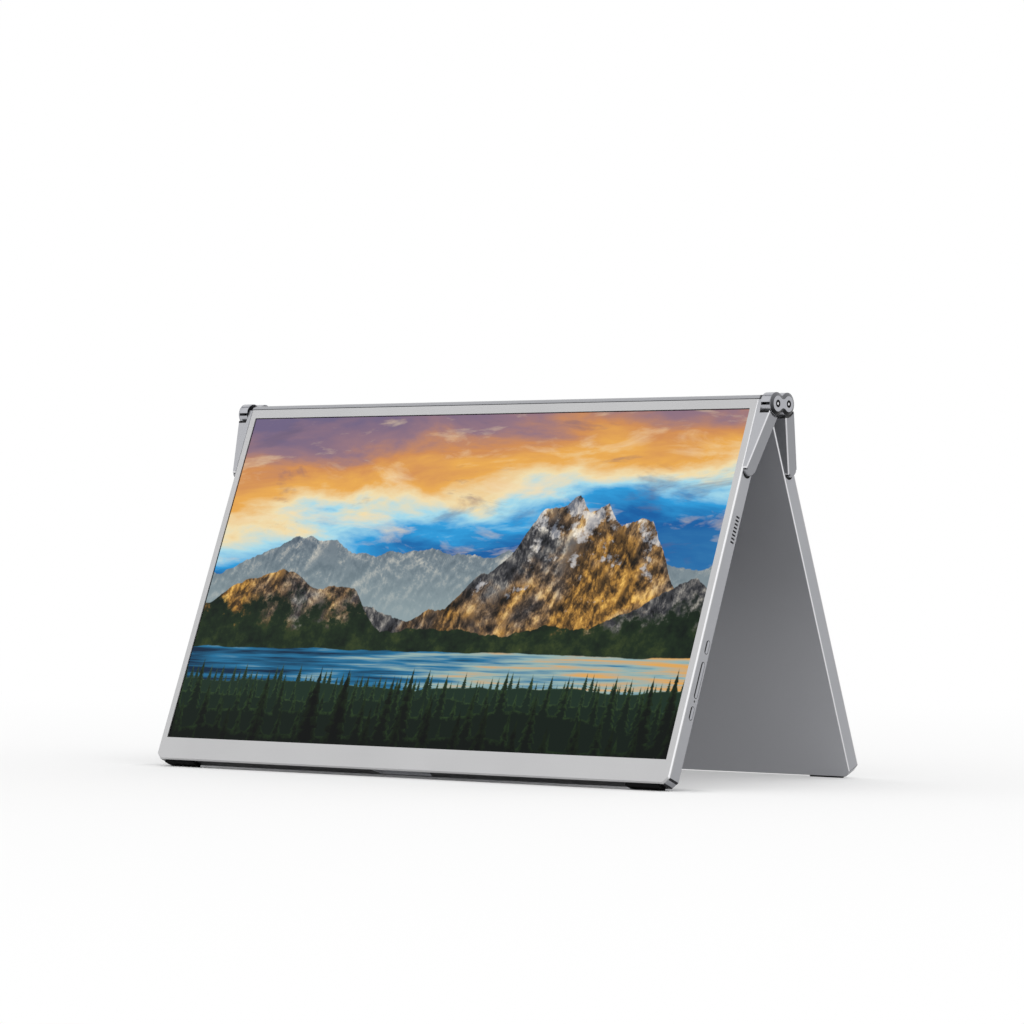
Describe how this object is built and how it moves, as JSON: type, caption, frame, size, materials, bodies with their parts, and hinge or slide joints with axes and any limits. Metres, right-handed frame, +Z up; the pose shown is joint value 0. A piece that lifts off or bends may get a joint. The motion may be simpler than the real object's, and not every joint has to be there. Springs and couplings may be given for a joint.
{
  "type": "dual portable monitor",
  "caption": "Slim portable monitor with two screens joined back to back by a geared friction hinge, standing as a tent with a screen on each side.",
  "frame": {"origin": "on the surface that the feet stand on, under the middle of the hinge", "axes": "+X along the hinge, +Z up, the front screen faces -Y"},
  "size_m": [0.3726, 0.1756, 0.2048],
  "materials": {
    "anodised_silver": "bead-blasted, silver anodised",
    "anodised_shell": "bead-blasted, dark silver anodised",
    "anodised_arm": "bead-blasted, silver anodised",
    "anodised_hinge": "fine satin, silver anodised",
    "button_silver": "satin anodised",
    "screen": "smooth, low reflection",
    "light_guide": "white, glossy",
    "foot_rubber": "matt black",
    "circuit": "green solder mask",
    "steel": "fine ground steel",
    "speaker_plastic": "matt black, moulded",
    "port_steel": "plain stamped steel",
    "light_pipe": "clear, polished"
  },
  "bodies": {
    "front_panel": {"front_back_shell": "anodised_shell", "front_bezel": "anodised_silver", "front_display": "screen", "front_backlight": "light_guide", "front_feet": "foot_rubber", "front_arm_screws": "steel", "front_controller_board": "circuit", "front_board_screws": "steel", "front_speakers": "speaker_plastic", "usb_ports": "port_steel", "hdmi_port": "port_steel", "audio_jack": "speaker_plastic", "button_board": "circuit", "status_light": "light_pipe", "front_axles": "steel", "front_arm_right": "anodised_arm", "front_arm_left": "anodised_arm", "front_gear_right": "steel", "front_gear_left": "steel"},
    "hinge_links": {"hinge_caps": "anodised_hinge", "barrels_upper": "anodised_hinge", "barrels_lower": "anodised_hinge", "link_plates": "steel", "friction_washers_right": "steel", "friction_washers_left": "steel"},
    "rear_panel": {"rear_back_shell": "anodised_shell", "rear_bezel": "anodised_silver", "rear_display": "screen", "rear_backlight": "light_guide", "rear_feet": "foot_rubber", "rear_arm_screws": "steel", "rear_driver_board": "circuit", "rear_board_screws": "steel", "rear_axles": "steel", "rear_arm_right": "anodised_arm", "rear_arm_left": "anodised_arm", "rear_gear_right": "steel", "rear_gear_left": "steel"},
    "menu_button": {"menu_button": "button_silver"},
    "power_button": {"power_button": "button_silver"},
    "rocker": {"rocker": "button_silver"}
  },
  "joints": [
    {"name": "front_hinge", "type": "hinge", "parent": "front_panel", "child": "hinge_links", "pos_m": [0, -0.00495, 0.19881], "axis": [1, 0, 0], "range_deg": [-21.8, 158.1]},
    {"name": "rear_hinge", "type": "hinge", "parent": "hinge_links", "child": "rear_panel", "pos_m": [0, 0.00495, 0.19881], "axis": [1, 0, 0], "range_deg": [-21.8, 158.1]},
    {"name": "menu_press", "type": "slide", "parent": "front_panel", "child": "menu_button", "axis": [-1, 0, 0], "range_m": [0, 0.0005], "stiffness_N_per_m": 1500},
    {"name": "power_press", "type": "slide", "parent": "front_panel", "child": "power_button", "axis": [-1, 0, 0], "range_m": [0, 0.0005], "stiffness_N_per_m": 1500},
    {"name": "rocker_tip", "type": "hinge", "parent": "front_panel", "child": "rocker", "pos_m": [0.17455, -0.06082, 0.05573], "axis": [0, 0.9282, -0.3722], "range_deg": [-1.2, 1.2], "stiffness_Nm_per_rad": 0.4}
  ],
  "couplings": [
    {"joint": "front_hinge", "follows": "rear_hinge", "ratio": 1}
  ]
}
